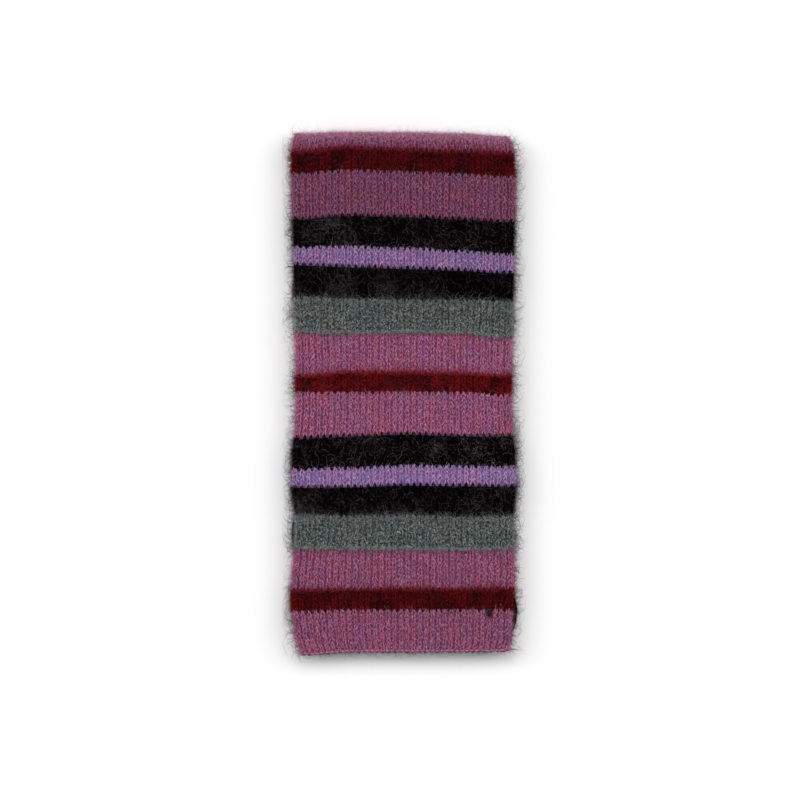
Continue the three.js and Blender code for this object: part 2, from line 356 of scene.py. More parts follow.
@dataclass
class FoldedStrip:
    """The scarf's path through its folds.

    A place on the knit is v, from -1 to 1 across, and c, a course counted from the near
    cut end. The face that shows on the top stretch is the outer face, and h is the height
    above the middle of the cloth towards it.
    """

    cloth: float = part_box("under_stretch")[1].z / MM
    layer_step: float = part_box("hidden_layers")[0].z / MM
    far_reach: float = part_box("top_stretch")[1].y / MM
    near_line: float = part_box("under_stretch")[0].y / MM
    inner_end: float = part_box("hidden_layers")[0].y / MM
    far_course: float = 113.4
    under_pitch: float = 3.407
    lower_pitch: float = 3.48
    upper_pitch: float = 3.41
    tuck: float = 1.0
    far_pinch: tuple[float, float] = (1.6, 2.6)
    near_pinch: tuple[float, float] = (2.6, 2.6)
    skew_from: float = 120.0
    skew_full: float = 190.0
    starts: list[float] = field(init=False)

    def __post_init__(self) -> None:
        """Works out the levels and the course at which each part of the path starts."""
        self.gap = self.layer_step - self.cloth
        self.stack = 3 * self.layer_step + self.cloth
        self.far_line = self.far_reach - self.stack / 2
        self.far_radius = (self.stack - self.cloth) / 2
        self.turn_radius = self.layer_step / 2
        flat = self.far_line - self.near_line
        parts = [
            math.pi * self.far_radius / self.under_pitch,
            flat / self.under_pitch,
            math.pi * self.turn_radius / self.under_pitch,
            flat / self.lower_pitch,
            math.pi * self.turn_radius / self.lower_pitch,
            (self.far_line - self.inner_end) / self.upper_pitch,
        ]
        self.starts = [0.0, *(self.far_course + np.cumsum([0.0, *parts])).tolist()]
        self.edge_courses = np.array([e.course for e in STRIPE_EDGES])
        self.edge_grid = np.array(
            [
                [e.middle + dy for dy in (e.left, e.inner_left, 0.0, e.inner_right, e.right)]
                for e in STRIPE_EDGES
            ]
        )
        self.outline_y = np.array([b.y for b in OUTLINE])
        self.outline_left = np.array([b.left for b in OUTLINE])
        self.outline_right = np.array([b.right for b in OUTLINE])

    @property
    def courses(self) -> float:
        """The number of courses on the whole strip."""
        return self.starts[-1]

    def part(self, c: Array) -> Array:
        """The part of the path that each course lies on, 0 for the top stretch to 6."""
        return np.clip(np.searchsorted(self.starts, c, side="right") - 1, 0, 6)

    def top_y(self, v: Array, c: Array) -> Array:
        """Where a course of the top stretch lies along the scarf.

        Args:
            v: Places across.
            c: Courses.

        Returns:
            The y of each.
        """
        columns = [np.interp(c, self.edge_courses, self.edge_grid[:, k]) for k in range(5)]
        before = np.minimum(c - self.edge_courses[0], 0) * self.under_pitch
        stations = np.array(STATIONS)
        at = np.clip(v, stations[0], stations[-1])
        i = np.clip(np.searchsorted(stations, at, side="right") - 1, 0, 3)
        t = (at - stations[i]) / (stations[i + 1] - stations[i])
        rows = np.stack(columns)
        low = np.take_along_axis(rows, i[None], 0)[0]
        high = np.take_along_axis(rows, i[None] + 1, 0)[0]
        ahead = t * t * (3 - 2 * t)
        return low * (1 - ahead) + high * ahead + before

    def skew(self, v: Array, y: Array) -> Array:
        """How far the far end lies off square.

        Args:
            v: Places across.
            y: Places along.

        Returns:
            The shift along y of each.
        """
        t = np.clip((y - self.skew_from) / (self.skew_full - self.skew_from), 0, 1)
        at_line = self.top_y(v, np.full_like(v, self.far_course)) - self.far_line
        return at_line * t * t * (3 - 2 * t)

    def half_width(self, side: Array, y: Array, part: Array, turn: Array) -> Array:
        """The cloth's half width.

        Args:
            side: -1 on the left and 1 on the right.
            y: Places along.
            part: The part of the path that each lies on.
            turn: How far round its fold each is, 0 to 1.

        Returns:
            The distance from the middle line to the edge.
        """
        left = smooth_read(self.outline_y, self.outline_left, y)
        right = smooth_read(self.outline_y, self.outline_right, y)
        width = np.where(side < 0, left, right)
        width = width - self.tuck * np.where(part == 0, 0, np.where(part == 1, turn, 1))
        far = np.where(side < 0, *self.far_pinch) * np.sin(math.pi * turn)
        near = np.where(side < 0, *self.near_pinch) * np.sin(math.pi * turn)
        width = width - np.where(part == 1, far, 0) - np.where(part == 3, near, 0)
        order = {Stretch.UNDER: 2, Stretch.LOWER: 4, Stretch.UPPER: 6}
        for b in BULGES:
            out = b.out * bump(np.abs(y - b.y) / b.reach)
            width = width + np.where((part == order[b.stretch]) & (side == b.side), out, 0)
        return width

    def spine(self, c: Array) -> tuple[Array, Array, Array, Array, Array]:
        """The path of the cloth's middle.

        Args:
            c: Courses.

        Returns:
            y and z of the middle, y and z of the outer face's normal, and the turn, how
            far round its fold each course is.
        """
        part = self.part(c)
        start = np.array(self.starts)[part]
        end = np.array([*self.starts[1:], self.starts[-1]])[part]
        gone = c - start
        share = np.clip(gone / np.maximum(end - start, 1e-6), 0, 1)
        half = self.cloth / 2
        y = np.zeros_like(c)
        z = np.full_like(c, 3 * self.layer_step + half)
        ny = np.zeros_like(c)
        nz = np.ones_like(c)
        flats = [
            (2, self.far_line, -self.under_pitch, half, -1),
            (4, self.near_line, self.lower_pitch, half + self.layer_step, 1),
            (6, self.far_line, -self.upper_pitch, half + 2 * self.layer_step, -1),
        ]
        for index, origin, pitch, level, up in flats:
            y = np.where(part == index, origin + pitch * gone, y)
            z = np.where(part == index, level, z)
            nz = np.where(part == index, up, nz)
        turns = [
            (1, self.far_line, self.stack / 2, self.far_radius, 0.5, -0.5, 1),
            (3, self.near_line, self.layer_step - self.gap / 2, self.turn_radius, 1.5, 0.5, 1),
            (5, self.far_line, self.stack / 2, self.turn_radius, -0.5, 0.5, -1),
        ]
        for index, axis_y, axis_z, radius, first, last, sign in turns:
            angle = math.pi * (first + (last - first) * share)
            here = part == index
            y = np.where(here, axis_y + radius * np.cos(angle), y)
            z = np.where(here, axis_z + radius * np.sin(angle), z)
            ny = np.where(here, sign * np.cos(angle), ny)
            nz = np.where(here, sign * np.sin(angle), nz)
        return y, z, ny, nz, share

    def place(self, v: Array, c: Array, h: Array, out: Array | float = 0.0) -> Array:
        """The point of the stack for a place on the knit.

        Args:
            v: Places across.
            c: Courses.
            h: Heights above the middle of the cloth.
            out: How far past the cloth's edge each lies, away from the middle line.

        Returns:
            The points, x, y and z last.
        """
        v, c, h, out = np.broadcast_arrays(*(np.asarray(a, float) for a in (v, c, h, out)))
        part = self.part(c)
        y, z, ny, nz, turn = self.spine(c)
        y = np.where(part == 0, self.top_y(v, c), y)
        side = np.where(v < 0, -1, 1)
        x = v * self.half_width(side, y, part, turn) + side * out
        swell = np.zeros_like(x)
        for s in SWELLS:
            swell += s.rise * bump(np.hypot((x - s.x) / s.across, (y - s.y) / s.along))
        z = z + np.where(part == 0, swell, 0)
        y = y + np.where(part == 0, 0, self.skew(v, y))
        return np.stack([x, y + ny * h, z + nz * h], axis=-1)

    def normal(self, c: Array) -> Array:
        """The outer face's normal at each course."""
        _, _, ny, nz, _ = self.spine(c)
        return np.stack([np.zeros_like(ny), ny, nz], axis=-1)


def yarn_of(course: int) -> Yarn:
    """The yarn that a course is knitted in."""
    left = course % REPEAT_COURSES
    for yarn, courses in REPEAT:
        if left < courses:
            return yarn
        left -= courses
    return REPEAT[0][0]


def dye_of(courses: list[int]) -> Array:
    """How strongly each course took its dye, the stripes that differ from table and the
    rest as they come."""
    strength = np.ones(len(courses))
    for lot in DYE_LOTS:
        for i, course in enumerate(courses):
            if lot.first <= course < lot.last:
                strength[i] = lot.strength
    return strength


def bands(first: int, last: int) -> list[tuple[Yarn, list[int]]]:
    """Groups courses into stripes.

    Args:
        first: The first course.
        last: The last course.

    Returns:
        Each stripe's yarn and its courses.
    """
    groups: list[tuple[Yarn, list[int]]] = []
    for course in range(first, last + 1):
        yarn = yarn_of(course)
        if groups and groups[-1][0] is yarn:
            groups[-1][1].append(course)
        else:
            groups.append((yarn, [course]))
    return groups


def unit(vectors: Array) -> Array:
    """The vectors, each at length 1."""
    return vectors / np.maximum(np.linalg.norm(vectors, axis=-1, keepdims=True), 1e-9)


@dataclass
class TubeSet:
    """Closed tubes along paths, gathered into one mesh."""

    sides: int
    points: list[Array] = field(default_factory=list)
    quads: list[Array] = field(default_factory=list)
    ends: list[Array] = field(default_factory=list)
    quad_uvs: list[Array] = field(default_factory=list)
    lifts: list[Array] = field(default_factory=list)
    dyes: list[Array] = field(default_factory=list)
    painted_top_share: float = 0.3
    count: int = 0

    def add(self, paths: Array, ups: Array, radii: Array, lift: Array, dye: Array) -> None:
        """Adds a tube round each path.

        Args:
            paths: Points in millimetres, as tubes by points by 3.
            ups: A direction at each point that the path never runs along.
            radii: The tube's radius at each point.
            lift: How far out of the cloth each point lies, from 0 to 1.
            dye: Each tube's strength of dye.
        """
        tubes, length, _ = paths.shape
        tangent = np.gradient(paths, axis=1)
        across = unit(np.cross(tangent, ups))
        up = unit(np.cross(across, tangent))
        angle = 2 * math.pi * (np.arange(self.sides) + 0.5) / self.sides
        ring = np.cos(angle)[:, None] * across[:, :, None] + np.sin(angle)[:, None] * up[:, :, None]
        points = paths[:, :, None] + ring * radii[:, :, None, None]
        index = np.arange(tubes * length * self.sides).reshape(tubes, length, self.sides)
        index += self.count
        after = np.roll(index, -1, axis=2)
        quads = np.stack([index[:, :-1], after[:, :-1], after[:, 1:], index[:, 1:]], axis=-1)
        along = np.cumsum(np.linalg.norm(np.diff(paths, axis=1, prepend=paths[:, :1]), axis=2), axis=1)
        start = np.repeat(along[:, :-1, None], self.sides, axis=2)
        stop = np.repeat(along[:, 1:, None], self.sides, axis=2)
        low = np.broadcast_to(np.arange(self.sides) / self.sides, start.shape)
        high = low + 1 / self.sides
        uvs = np.stack([start, low, start, high, stop, high, stop, low], axis=-1)
        # Painted light: the upper side of each tube gets a larger lift, so it is coloured lighter as if
        # lit from above, and its underside darker
        painted_top_light = (0.5 + 0.5 * np.sin(angle)) * self.painted_top_share
        raised = lift[:, :, None] * (1 - self.painted_top_share) + painted_top_light
        self.lifts.append(raised.reshape(-1))
        self.dyes.append(np.repeat(dye, length * self.sides))
        self.points.append(points.reshape(-1, 3))
        self.quads.append(quads.reshape(-1, 4))
        self.ends.append(np.concatenate([index[:, 0, ::-1], index[:, -1]]))
        self.quad_uvs.append(uvs.reshape(-1, 2))
        self.count += tubes * length * self.sides

    def mesh(self, name: str, floor: float = 0.0) -> Mesh:
        """Makes the mesh, in metres.

        Args:
            name: The mesh's name.
            floor: The lowest height that a point may have, in millimetres.

        Returns:
            The mesh, smooth, with a UV map of the length along and round each tube.
        """
        points = np.concatenate(self.points)
        points[:, 2] = np.maximum(points[:, 2], floor)
        quads = np.concatenate(self.quads)
        ends = np.concatenate(self.ends)
        mesh = bpy.data.meshes.new(name)
        mesh.from_pydata((points * MM).tolist(), [], quads.tolist() + ends.tolist())
        layer = mesh.uv_layers.new(name="yarn_length")
        uvs = np.zeros((len(mesh.loops), 2))
        flat = np.concatenate(self.quad_uvs)
        uvs[: len(flat)] = flat
        layer.data.foreach_set("uv", uvs.ravel())
        lift = mesh.attributes.new(LIFT, "FLOAT", "POINT")
        lift.data.foreach_set("value", np.concatenate(self.lifts))
        dye = mesh.attributes.new(DYE, "FLOAT", "POINT")
        dye.data.foreach_set("value", np.concatenate(self.dyes))
        mesh.polygons.foreach_set("use_smooth", np.ones(len(mesh.polygons), bool))
        mesh.update()
        return mesh


@dataclass(frozen=True)
class YarnFinish:
    """Brushed mohair blend, spun loosely and dyed in the fibre.

    Fibres of several shades lie side by side, so the colour drifts between a warm and a
    cool shade along the yarn. Down between the loops and on the underside of each yarn the
    colour is painted darker, towards the deep colour, as painted shade. The raised fibres
    catch light at grazing angles as a pale sheen.
    """

    yarn: Yarn
    warm: int
    cool: int
    # deep is painted shade: the colour that the yarn turns towards where it lies down between the loops
    # or faces away from the light
    deep: int
    # halo is the loose fibres' paler colour and the sheen's tint, partly their own colour and partly
    # painted light where they catch it; loose is painted shade, the colour of fibres in shadow or dark
    # against the ground
    halo: int
    loose: int
    fleck: float = 0.5
    sheen: float = 0.15
    gloss: float = 0.12
    drift_mm: float = 12.0
    drift_scale: tuple[float, float, float] = (1.0, 0.75, 1.0)
    drift_span: tuple[float, float] = (0.34, 0.66)
    painted_shade_span: tuple[float, float] = (0.1, 0.9)
    heather_mm: float = 1.6
    heather_span: tuple[float, float] = (0.4, 0.6)
    heather_shade: int = 0x787878
    ply_mm: float = 1.1
    ply_scale: tuple[float, float, float] = (0.6, 7.0, 1.0)
    ply_twist: float = 0.5
    ply_span: tuple[float, float] = (0.35, 0.7)
    ply_shade: int = 0xD0D0D0
    relief: float = 0.6
    relief_mm: float = 0.2

    @property
    def slot(self) -> str:
        """The record's material slot for this yarn."""
        # The name of this yarn's material slot.
        return f"{self.yarn.value}_yarn"

    def material(self) -> Material:
        """The knit yarn's material, made when it's first asked for.

        Returns:
            The material.
        """
        name = f"{self.yarn.value}_brushed_mohair"
        if name in bpy.data.materials:
            return bpy.data.materials[name]
        made = self.empty_material(name)
        tree = made.node_tree
        place = add_node(tree, "ShaderNodeTexCoord").outputs
        tall = mapped(tree, place["Object"], self.drift_scale)
        drift = noise(tree, tall, self.drift_mm * MM, 3.0)
        heather = noise(tree, place["Object"], self.heather_mm * MM, 2.0)
        wound = mapped(tree, place["UV"], self.ply_scale, self.ply_twist)
        plies = noise(tree, wound, self.ply_mm, 3.0)
        shade = ramp(tree, drift, self.drift_span, self.cool, self.warm)
        # Painted shade: the lower a point of the yarn lies, by its lift, the more its colour goes to the
        # deep one
        low, high = self.painted_shade_span
        span = {0: attribute(tree, LIFT), 1: low, 2: high, 3: 0.0, 4: 1.0}
        painted_light_share = add_node(tree, "ShaderNodeMapRange", inputs=span)
        body = mixed(tree, painted_light_share.outputs[0], linear(self.deep), shade)
        patch = ramp(tree, heather, self.heather_span, self.heather_shade, 0xFFFFFF)
        patched = mixed(tree, self.fleck, body, patch, "MULTIPLY")
        fine = ramp(tree, plies, self.ply_span, self.ply_shade, 0xFFFFFF)
        colour = mixed(tree, 1.0, patched, fine, "MULTIPLY")
        raised = {"Height": plies, "Strength": self.relief, "Distance": self.relief_mm * MM}
        bumps = add_node(tree, "ShaderNodeBump", inputs=raised)
        surface = {
            "Roughness": 0.92,
            "Sheen Weight": self.sheen,
            "Sheen Roughness": 0.5,
            "Sheen Tint": linear(self.halo),
            "Normal": bumps.outputs[0],
        }
        return self.shaded(made, colour, surface)

    def halo_material(self) -> Material:
        """Makes the material of the loose fibres, which are finer and look paler.

        Returns:
            The material.
        """
        name = f"{self.yarn.value}_loose_fibre"
        if name in bpy.data.materials:
            return bpy.data.materials[name]
        made = self.empty_material(name)
        tree = made.node_tree
        # Painted light and shade: each fibre's tone picks its colour between loose, painted shade for
        # fibres in shadow or dark against the ground, and halo, their paler colour, partly painted light
        # where they catch it
        colour = ramp(tree, attribute(tree, LIFT), (0.0, 1.0), self.loose, self.halo)
        return self.shaded(made, colour, {"Roughness": 0.8})

    @staticmethod
    def empty_material(name: str) -> Material:
        """Makes a material that has no nodes yet.

        Args:
            name: The material's name.

        Returns:
            The material.
        """
        made = bpy.data.materials.new(name)
        made.use_nodes = True
        made.node_tree.nodes.clear()
        return made

    def shaded(
        self, made: Material, colour: Socket, surface: dict
    ) -> Material:
        """Gives a material its shader, with the colour as strong as the stripe's dye.

        Args:
            made: The material.
            colour: The colour's socket.
            surface: The shader's other inputs.

        Returns:
            The material.
        """
        tree = made.node_tree
        strength = {0: colour, "Scale": attribute(tree, DYE)}
        dyed = add_node(tree, "ShaderNodeVectorMath", {"operation": "SCALE"}, strength)
        inputs = {"Base Color": dyed.outputs[0], "Specular IOR Level": self.gloss, **surface}
        shader = add_node(tree, "ShaderNodeBsdfPrincipled", inputs=inputs)
        add_node(tree, "ShaderNodeOutputMaterial", inputs={"Surface": shader.outputs[0]})
        return made


# The deep colours are painted shade for the yarn between the loops; the loose colours are painted shade
# for loose fibres
FINISHES = {
    Yarn.MAUVE: YarnFinish(
        Yarn.MAUVE, warm=0xC66789, cool=0xAE699B, deep=0x844566, halo=0xE8A6C6, loose=0x54364A
    ),
    Yarn.WINE: YarnFinish(
        Yarn.WINE,
        warm=0x80070D,
        cool=0x2C0205,
        deep=0x3E0408,
        halo=0xA42C38,
        loose=0x340C10,
        sheen=0.0,
        gloss=0.08,
    ),
    Yarn.BLACK: YarnFinish(
        Yarn.BLACK,
        warm=0x0E080B,
        cool=0x08070A,
        deep=0x040304,
        halo=0x766A6E,
        loose=0x181416,
        sheen=0.0,
        gloss=0.02,
    ),
    Yarn.LAVENDER: YarnFinish(
        Yarn.LAVENDER, warm=0xD296CC, cool=0xB08ED0, deep=0x8E68AA, halo=0xE8CCF2, loose=0x5E4C6C
    ),
    Yarn.GREY: YarnFinish(
        Yarn.GREY, warm=0x7D837D, cool=0x6E7A7E, deep=0x505A58, halo=0xC8CCC8, loose=0x343C3E, fleck=1.0
    ),
}


def add_piece(
    mesh: Mesh, name: str, slot: str, *materials: Material
) -> Piece:
    """Puts a mesh in the scene as a piece of the scarf.

    Args:
        mesh: The mesh, in the frame's own place.
        name: The piece's name.
        slot: The material slot's name; not used.
        materials: The piece's materials.

    Returns:
        The piece.
    """
    piece = bpy.data.objects.new(name, mesh)
    bpy.context.scene.collection.objects.link(piece)
    for material in materials:
        mesh.materials.append(material)
    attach(piece, BODY)
    LOG.info("%s: %d faces", name, len(mesh.polygons))
    return piece


def yarn_pieces(name: str, sets: dict[Yarn, TubeSet]) -> list[Piece]:
    """Makes a piece of each yarn's tubes.

    Args:
        name: The start of the pieces' names.
        sets: The tubes of each yarn.

    Returns:
        The pieces.
    """
    pieces = []
    for yarn, tubes in sets.items():
        finish = FINISHES[yarn]
        title = f"{name}_{yarn.value}"
        pieces.append(add_piece(tubes.mesh(title), title, finish.slot, finish.material()))
    return pieces


@dataclass
class RibKnit:
    """The yarn loops of the outer face: knit ribs side by side, each course one yarn.

    A loop's head lies deep at its rib's middle, its two legs stand out and lean together
    towards the next course, and its sinkers run deep across the grooves to its neighbours.
    """

    strip: FoldedStrip
    wales: int = 34
    radius: float = 0.75
    lean: float = 1.16
    gather: float = 0.24
    reach: float = 2.9
    depth: float = 0.75
    rise: float = 0.55
    sink: float = 1.1
    loose: float = 0.4
    inset: float = 0.7
    edge_drop: float = 0.7
    drop_from: float = 2.6
    slip: float = 0.03  # of a wale, that the points of a loop crowd towards its legs
    sway_play: float = 0.2
    neck: int = 10  # how sharply a loop sinks at its neck
    swell: tuple[float, float] = (0.16, 0.08)  # of the radius, with a loop's slack and height
    seed: int = 11

    def paths(self, courses: list[int], steps: int) -> tuple[Array, Array, Array, Array]:
        """Works out the yarn of some courses.

        Args:
            courses: The courses.
            steps: Points to a loop.

        Returns:
            The yarns' points, the outer face's normals there, the radii and the lift.
        """
        rows = np.array(courses, float)[:, None]
        even = np.linspace(0, self.wales, steps * self.wales + 1)[None]
        at = even + self.slip * np.sin(4 * math.pi * even)
        angle = 2 * math.pi * at - math.pi
        shift, height, slack = self.wander(courses, at)
        wale = 2 * HALF_BREADTH / self.wales
        lean = self.lean * (1 + self.sway_play * slack)
        sway = lean * np.sin(2 * angle) - self.gather * np.sin(angle)
        across = at + (sway + self.loose * shift) / wale
        v = self.share(across)
        along = rows + 0.5 + (self.loose * height - self.reach * np.cos(angle)) / COURSE
        edge = np.minimum(across, self.wales - across) * wale + self.inset
        drop = self.edge_drop * np.clip(1 - edge / self.drop_from, 0, 1) ** 2
        high = (1 - np.cos(angle)) / 2
        down = self.depth * (1 + np.cos(2 * angle)) - self.rise * high + self.sink * high**self.neck
        down = down + self.loose * (1 - slack) / 2
        level = self.strip.cloth / 2 - self.radius - down - drop
        points = self.strip.place(v, along, level)
        ups = self.strip.normal(along)
        radii = self.radius * (1 + self.swell[0] * slack + self.swell[1] * height)
        # The lift paints shade into the yarn's colour: the deeper a point lies in the cloth, the darker
        # it is coloured
        lift = np.clip(1 - down / (2 * self.depth), 0, 1)
        return points, ups, radii, lift

    def share(self, across: Array) -> Array:
        """Turns a place across, counted in wales, into v."""
        return (across / self.wales * 2 - 1) * (1 - self.inset / HALF_BREADTH)

    def wander(self, courses: list[int], at: Array) -> tuple[Array, Array, Array]:
        """Small unevenness of hand, steady along each yarn from loop to loop.

        Args:
            courses: The courses.
            at: Places across, counted in wales.

        Returns:
            Three values from -1 to 1 at each place.
        """
        found = []
        halves = np.arange(2 * self.wales + 1) / 2
        for kind in range(3):
            rows = []
            for course in courses:
                dice = np.random.default_rng([self.seed, kind, course])
                rows.append(np.interp(at[0], halves, dice.uniform(-1, 1, len(halves))))
            found.append(np.array(rows))
        return found[0], found[1], found[2]

    def build(
        self, first: int, last: int, name: str, sides: int, steps: int, joined: bool = True
    ) -> list[Piece]:
        """Knits the stripes between two courses.

        Args:
            first: The first course.
            last: The last course.
            name: The start of the pieces' names.
            sides: Sides of the yarn.
            steps: Points to a loop.
            joined: Whether a yarn's stripes are one piece, or each stripe is its own.

        Returns:
            The pieces.
        """
        pieces = []
        sets: dict[Yarn, TubeSet] = {}
        for number, (yarn, courses) in enumerate(bands(first, last), 1):
            tubes = sets.setdefault(yarn, TubeSet(sides))
            tubes.add(*self.paths(courses, steps), dye_of(courses))
            if not joined:
                pieces += yarn_pieces(f"{name}_{number:02d}", sets)
                sets.clear()
        return pieces + yarn_pieces(name, sets)


@dataclass
class Selvedges:
    """The chain of loops down both long edges of every layer, and along the cut ends."""

    strip: FoldedStrip
    breadth: float = 3.5
    radius: float = 0.78
    pinch: float = 0.75
    reach: float = 2.6
    depth: float = 0.6
    least_lift: float = 0.55
    end_loops: int = 40
    end_spread: float = 0.965  # of the half width
    end_limit: float = 0.985
    end_out: float = 1.0
    last_bit: float = 0.01  # of a course, back from the strip's last end
    play_along: float = 0.06  # the unevenness of a loop, in courses
    play_across: float = 0.08  # as a share of its breadth
    play_level: float = 0.1
    play_out: float = 0.15
    play_radius: float = 0.1
    seed: int = 23

    def loop(self, steps: int) -> tuple[Array, Array, Array]:
        """One loop of a chain, as places across, along and out of it."""
        angle = np.linspace(-math.pi, math.pi, steps + 1)
        across = self.breadth * angle / (2 * math.pi) + self.pinch * np.sin(2 * angle)
        along = -self.reach * np.cos(angle)
        out = -self.depth - self.radius - self.depth * np.cos(2 * angle)
        return across, along, out

    def lift_of(self, out: Array) -> Array:
        """How far out of the chain each point lies, from the least lift to 1."""
        # The lift paints shade into the chain's colour, darkest where a point lies deepest
        return 1 + (1 - self.least_lift) * (out + self.radius) / (2 * self.depth)

    def build(self, steps: int = 8, sides: int = 4) -> list[Piece]:
        """Makes the chains, a piece for each yarn.

        Args:
            steps: Points to a loop.
            sides: Sides of the yarn.

        Returns:
            The pieces.
        """
        across, along, out = self.loop(steps)
        dice = np.random.default_rng(self.seed)
        sets: dict[Yarn, TubeSet] = {}
        for yarn, courses in bands(0, int(self.strip.courses) - 1):
            tubes = sets.setdefault(yarn, TubeSet(sides))
            for side in (-1, 1):
                rows = np.array(courses, float)[:, None]
                shake = dice.uniform(-1, 1, (3, len(courses), 1))
                c = rows + 0.5 + along[None] / COURSE + self.play_along * shake[0]
                h = across[None] * (1 + self.play_across * shake[1]) + self.play_level * shake[1]
                shaken = out[None] + self.play_out * shake[2]
                points = self.strip.place(float(side), c, h, shaken)
                ups = np.broadcast_to(np.array([side, 0.0, 0.0]), points.shape)
                radii = self.radius * (1 + self.play_radius * shake[1]) * np.ones_like(c)
                lift = np.broadcast_to(self.lift_of(out)[None], c.shape)
                tubes.add(points, ups, radii, lift, dye_of(courses))
        self.add_ends(sets, steps)
        return yarn_pieces("selvedge", sets)

    def add_ends(self, sets: dict[Yarn, TubeSet], steps: int) -> None:
        """Adds the chains along the two cut ends.

        Args:
            sets: The tubes of each yarn.
            steps: Points to a loop.
        """
        across, along, out = self.loop(steps)
        count = self.end_loops
        facing = np.array([0.0, -1.0, 0.0])
        v = (np.arange(count) + 0.5)[:, None] / count * 2 - 1
        spots = v * self.end_spread + along[None] / COURSE * 2 / count
        spots = np.clip(spots, -self.end_limit, self.end_limit)
        lift = np.broadcast_to(self.lift_of(out)[None], spots.shape)
        radii = np.full(spots.shape, self.radius)
        for end in (0.0, self.strip.courses - self.last_bit):
            base = self.strip.place(spots, end, across[None])
            points = base + facing * (out[None, :, None] + self.end_out)
            ups = np.broadcast_to(facing, points.shape)
            dye = dye_of([int(end)] * count)
            sets[yarn_of(int(end))].add(points, ups, radii, lift, dye)


@dataclass
class Cloth:
    """The body of the knit between its two faces, one strip through all four layers."""

    strip: FoldedStrip
    thickness: float = 0.9
    edge_inset: float = 1.5
    columns: int = 12
    lag: float = 0.4
    margin: float = 0.3  # of a course, at both ends

    def build(self) -> Piece:
        """Makes the strip as a sheet, and gives it its thickness.

        Returns:
            The piece.
        """
        v = np.linspace(-1, 1, self.columns + 1) * (1 - self.edge_inset / HALF_BREADTH)
        first, last = self.margin, self.strip.courses - self.margin
        rows = np.arange(1.0, math.floor(last) + 1) - self.lag
        folds = np.array(self.strip.starts[1:-1])[:, None] + np.arange(-1.0, 6.0)[None]
        c = np.unique(np.round([first, *rows, *folds.ravel(), last], 1))
        c = c[(c >= first) & (c <= last)]
        points = self.strip.place(v[None], c[:, None], 0.0)
        wide, long = len(v), len(c)
        index = np.arange(wide * long).reshape(long, wide)
        quads = np.stack([index[:-1, :-1], index[:-1, 1:], index[1:, 1:], index[1:, :-1]], axis=-1)
        mesh = bpy.data.meshes.new("cloth_strip")
        mesh.from_pydata((points.reshape(-1, 3) * MM).tolist(), [], quads.reshape(-1, 4).tolist())
        mesh.polygons.foreach_set("use_smooth", np.ones(len(mesh.polygons), bool))
        strength = np.repeat(dye_of((c + self.lag).astype(int).tolist()), wide)
        mesh.attributes.new(DYE, "FLOAT", "POINT").data.foreach_set("value", strength)
        order = list(Yarn)
        middles = (c[:-1] + c[1:]) / 2
        stripe = np.array([order.index(yarn_of(int(m + self.lag))) for m in middles])
        # The cloth carries no lift, so all of it is coloured in each yarn's deep colour, the painted
        # shade between the loops
        materials = [FINISHES[yarn].material() for yarn in order]
        piece = add_piece(mesh, "cloth_strip", FINISHES[Yarn.MAUVE].slot, *materials)
        mesh.polygons.foreach_set("material_index", np.repeat(stripe, wide - 1).astype(np.int32))
        wall = piece.modifiers.new("wall", "SOLIDIFY")
        wall.thickness = self.thickness * MM
        wall.offset = 0.0
        bpy.ops.object.select_all(action="DESELECT")
        bpy.context.view_layer.objects.active = piece
        piece.select_set(True)
        bpy.ops.object.modifier_apply(modifier=wall.name)
        piece.select_set(False)
        return piece


@dataclass(frozen=True)
class Growth:
    """One kind of loose fibre: how many, how long, how thick, how pale and how it lies.

    Stand is how high over the outermost yarn it starts. A border keeps its roots within so
    many courses of a stripe's far border, or of its near one if it's a fringe, which lies
    towards the near end.
    """

    count: int
    shortest: float
    longer: float  # than the shortest, on average
    points: int
    thick: float
    # tone picks a fibre's colour between its yarn's loose colour, which is painted shade, and its pale
    # halo colour; low tones paint the fibre shaded
    tone: float
    tone_spread: float = 0.3
    bend: float = 0.3
    brushed: float = 0.0
    spread: float = 0.7
    tufted: float = 0.0
    stand: float = -0.3
    border: float = math.inf
    fringe: bool = False
    yarns: tuple[Yarn, ...] = tuple(Yarn)
    length_shape: float = 3.0  # of the gamma spread that lengths are drawn from

    def lengths(self, dice: Dice) -> Array:
        """Draws the fibres' lengths.

        Args:
            dice: The random numbers.

        Returns:
            A length for each fibre.
        """
        scale = self.longer / self.length_shape
        return self.shortest + dice.gamma(self.length_shape, scale, self.count)


PALE = (Yarn.MAUVE, Yarn.LAVENDER, Yarn.GREY)
DARK = (Yarn.WINE, Yarn.BLACK)
BLURRED = (Yarn.BLACK, *PALE)
# Short thick flecks that speckle the pale stripes along the stitches
FLECKS = Growth(13000, 0.7, 0.9, 2, 0.2, 0.85, 0.45, bend=0.0, brushed=1.0, spread=0.45, yarns=PALE)
# Brighter red flecks that mottle the wine stripes
WINE_FLECKS = Growth(
    2600, 0.7, 0.8, 2, 0.14, 0.65, 0.4, bend=0.0, brushed=0.8, stand=-0.1, yarns=(Yarn.WINE,)
)
# Fine down that greys the dark stripes
DARK_DOWN = Growth(5000, 0.7, 1.2, 2, 0.085, 0.45, 0.4, bend=0.0, brushed=0.7, tufted=0.3, yarns=DARK)
# Fine pale nap, and dimmer fibres that were raised along the ribs
NAP = Growth(2000, 1.0, 2.0, 3, 0.08, 0.8, brushed=0.4, yarns=PALE)
RAISED = Growth(1000, 1.4, 2.2, 3, 0.1, 0.4, 0.4, bend=0.15, brushed=1.0, yarns=(Yarn.WINE, *PALE))
